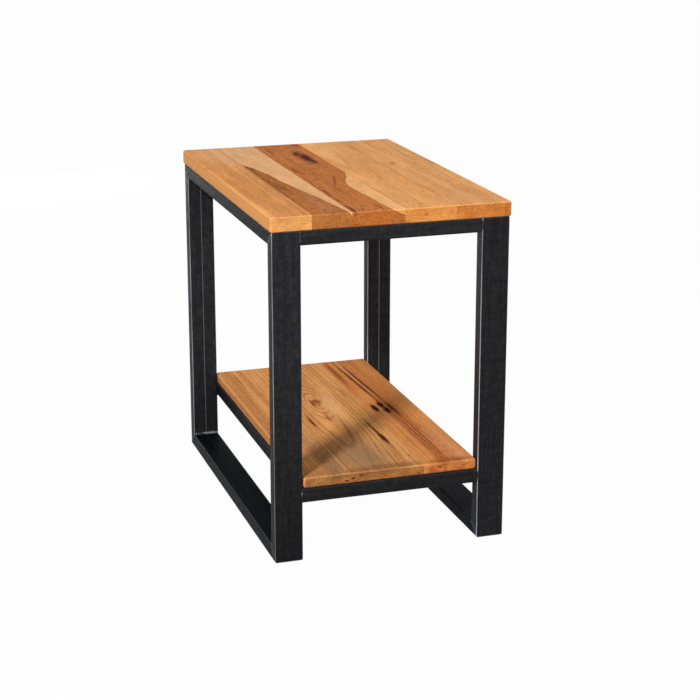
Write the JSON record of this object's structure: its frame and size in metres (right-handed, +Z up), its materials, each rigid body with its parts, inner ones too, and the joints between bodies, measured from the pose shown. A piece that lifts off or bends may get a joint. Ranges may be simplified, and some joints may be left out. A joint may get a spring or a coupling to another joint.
{
  "type": "end table",
  "caption": "Small rectangular end table: black steel tube side loops and cross rails carry an edge-glued hickory top and a low hickory shelf.",
  "frame": {"origin": "on the floor, under the middle of the table", "axes": "+X to the right and -X to the left as seen from the front, -Y towards the front, +Z up; the planks run along Y"},
  "size_m": [0.423, 0.639, 0.6033],
  "materials": {
    "black_steel": "satin black coating over hot-rolled steel tube",
    "weld_bead": "rippled weld bead under the same satin black coating",
    "top_hickory": "clear satin lacquer over sanded hickory",
    "shelf_hickory": "clear satin lacquer over sanded hickory",
    "screw_zinc": "zinc plated"
  },
  "bodies": {
    "root": {"left_front_leg": "black_steel", "left_back_leg": "black_steel", "left_top_rail": "black_steel", "left_runner": "black_steel", "right_front_leg": "black_steel", "right_back_leg": "black_steel", "right_top_rail": "black_steel", "right_runner": "black_steel", "front_top_rail": "black_steel", "back_top_rail": "black_steel", "shelf_front_rail": "black_steel", "shelf_back_rail": "black_steel", "shelf_left_rail": "black_steel", "shelf_right_rail": "black_steel", "left_loop_welds": "weld_bead", "right_loop_welds": "weld_bead", "top_rail_welds": "weld_bead", "shelf_frame_welds": "weld_bead", "top_plank_1": "top_hickory", "top_plank_2": "top_hickory", "top_plank_3": "top_hickory", "top_plank_4": "top_hickory", "top_plank_5": "top_hickory", "shelf_plank_1": "shelf_hickory", "shelf_plank_2": "shelf_hickory", "shelf_plank_3": "shelf_hickory", "top_screws": "screw_zinc", "shelf_screws": "screw_zinc"}
  },
  "joints": []
}
